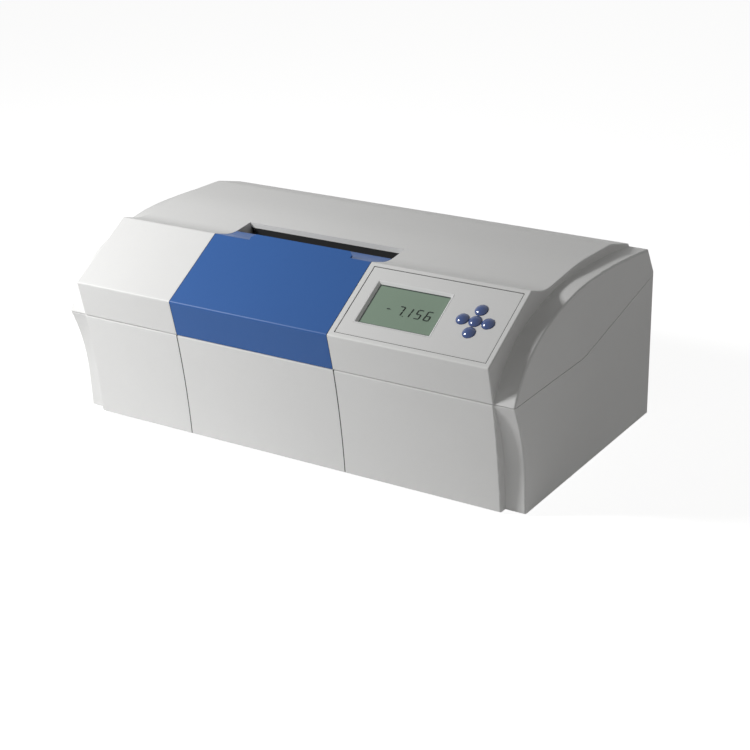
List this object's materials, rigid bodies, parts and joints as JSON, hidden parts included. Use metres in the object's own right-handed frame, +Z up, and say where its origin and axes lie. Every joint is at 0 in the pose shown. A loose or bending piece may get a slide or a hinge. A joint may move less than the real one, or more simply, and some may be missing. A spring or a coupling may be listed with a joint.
{
  "type": "automatic polarimeter",
  "caption": "Bench polarimeter with a sloped display panel and keys, flared side cheeks and a hinged lid over the sample tube chamber.",
  "frame": {"origin": "on the table, below the middle of the case", "axes": "+X along the instrument to the right as the user sees it, +Y to the back, +Z up"},
  "size_m": [0.6, 0.3297, 0.2307],
  "materials": {
    "case_plastic": "fine matt texture, off-white",
    "lid_blue": "satin blue paint on moulding",
    "overlay_grey": "matt film, light grey",
    "bezel_white": "matt, pale",
    "lcd_glass": "polished, grey-green",
    "lcd_grey": "matt",
    "key_blue": "glossy",
    "board_green": "solder mask",
    "black_metal": "matt black paint",
    "grey_metal": "grey paint",
    "cast_aluminium": "as cast, machined faces",
    "steel": "zinc plated",
    "brass": "machined",
    "copper_wire": "enamelled winding",
    "optic_glass": "polished",
    "film_dark": "polarising film",
    "ceramic": null,
    "black_plastic": "moulded",
    "rubber": "moulded"
  },
  "bodies": {
    "case": {"lower_housing": "case_plastic", "front_panel": "case_plastic", "top_cover": "case_plastic", "base_plate": "steel", "rubber_feet": "rubber", "case_screws": "steel", "hinge_shelf": "black_metal", "hinge_brackets": "black_metal", "hinge_pins": "steel", "display_overlay": "overlay_grey", "lcd_bezel": "bezel_white", "lcd_glass": "lcd_glass", "lcd_module": "lcd_grey", "display_board": "board_green", "sample_chamber": "black_metal", "beam_windows": "optic_glass", "tube_cradle": "black_metal", "optical_bench": "cast_aluminium", "lamp_house": "grey_metal", "lamp_socket": "ceramic", "sodium_lamp": "optic_glass", "condenser_barrel": "black_metal", "condenser_lens": "optic_glass", "polariser_mount": "black_metal", "polariser_film": "film_dark", "faraday_bobbin": "black_plastic", "faraday_winding": "copper_wire", "faraday_rod": "optic_glass", "analyser_bracket": "cast_aluminium", "analyser_bearing": "brass", "servo_motor": "grey_metal", "motor_bracket": "steel", "filter_holder": "black_metal", "interference_filter": "optic_glass", "detector_housing": "grey_metal", "detector_socket": "black_plastic", "photomultiplier": "optic_glass", "main_board": "board_green", "board_standoffs": "brass", "mains_transformer": "steel", "lamp_ballast": "steel", "high_voltage_module": "grey_metal", "rear_panel": "black_metal", "power_inlet": "black_plastic", "fuse_holder": "black_plastic", "rocker_frames": "black_plastic", "serial_connector": "steel"},
    "lid": {"sample_lid": "lid_blue", "lid_knuckles": "steel", "lid_bumpers": "rubber"},
    "up_key": {"key_up": "key_blue"},
    "left_key": {"key_left": "key_blue"},
    "enter_key": {"key_enter": "key_blue"},
    "right_key": {"key_right": "key_blue"},
    "down_key": {"key_down": "key_blue"},
    "analyser": {"analyser_gear": "brass", "analyser_film": "film_dark"},
    "motor_rotor": {"motor_pinion": "steel"},
    "power_switch": {"power_rocker": "black_plastic"},
    "lamp_switch": {"lamp_rocker": "black_plastic"}
  },
  "joints": [
    {"name": "lid_hinge", "type": "hinge", "parent": "case", "child": "lid", "pos_m": [-0.0296, -0.03, 0.2094], "axis": [-1, 0, 0], "range_deg": [0, 105]},
    {"name": "up_press", "type": "slide", "parent": "case", "child": "up_key", "axis": [0, 0.5024, -0.8646], "range_m": [0, 0.001], "stiffness_N_per_m": 200},
    {"name": "left_press", "type": "slide", "parent": "case", "child": "left_key", "axis": [0, 0.5024, -0.8646], "range_m": [0, 0.001], "stiffness_N_per_m": 200},
    {"name": "enter_press", "type": "slide", "parent": "case", "child": "enter_key", "axis": [0, 0.5024, -0.8646], "range_m": [0, 0.001], "stiffness_N_per_m": 200},
    {"name": "right_press", "type": "slide", "parent": "case", "child": "right_key", "axis": [0, 0.5024, -0.8646], "range_m": [0, 0.001], "stiffness_N_per_m": 200},
    {"name": "down_press", "type": "slide", "parent": "case", "child": "down_key", "axis": [0, 0.5024, -0.8646], "range_m": [0, 0.001], "stiffness_N_per_m": 200},
    {"name": "analyser_turn", "type": "hinge", "parent": "case", "child": "analyser", "pos_m": [0.104, -0.085, 0.11], "axis": [1, 0, 0], "range_deg": [-45, 45]},
    {"name": "motor_turn", "type": "hinge", "parent": "case", "child": "motor_rotor", "pos_m": [0.104, -0.045, 0.11], "axis": [1, 0, 0], "range_deg": [-180.5, 180.5]},
    {"name": "power_switch_rock", "type": "hinge", "parent": "case", "child": "power_switch", "pos_m": [0.146, 0.15057, 0.06737], "axis": [1, 0, 0], "range_deg": [0, 18]},
    {"name": "lamp_switch_rock", "type": "hinge", "parent": "case", "child": "lamp_switch", "pos_m": [0.116, 0.15057, 0.06737], "axis": [1, 0, 0], "range_deg": [0, 18]}
  ],
  "couplings": [
    {"joint": "motor_turn", "follows": "analyser_turn", "ratio": -4}
  ]
}
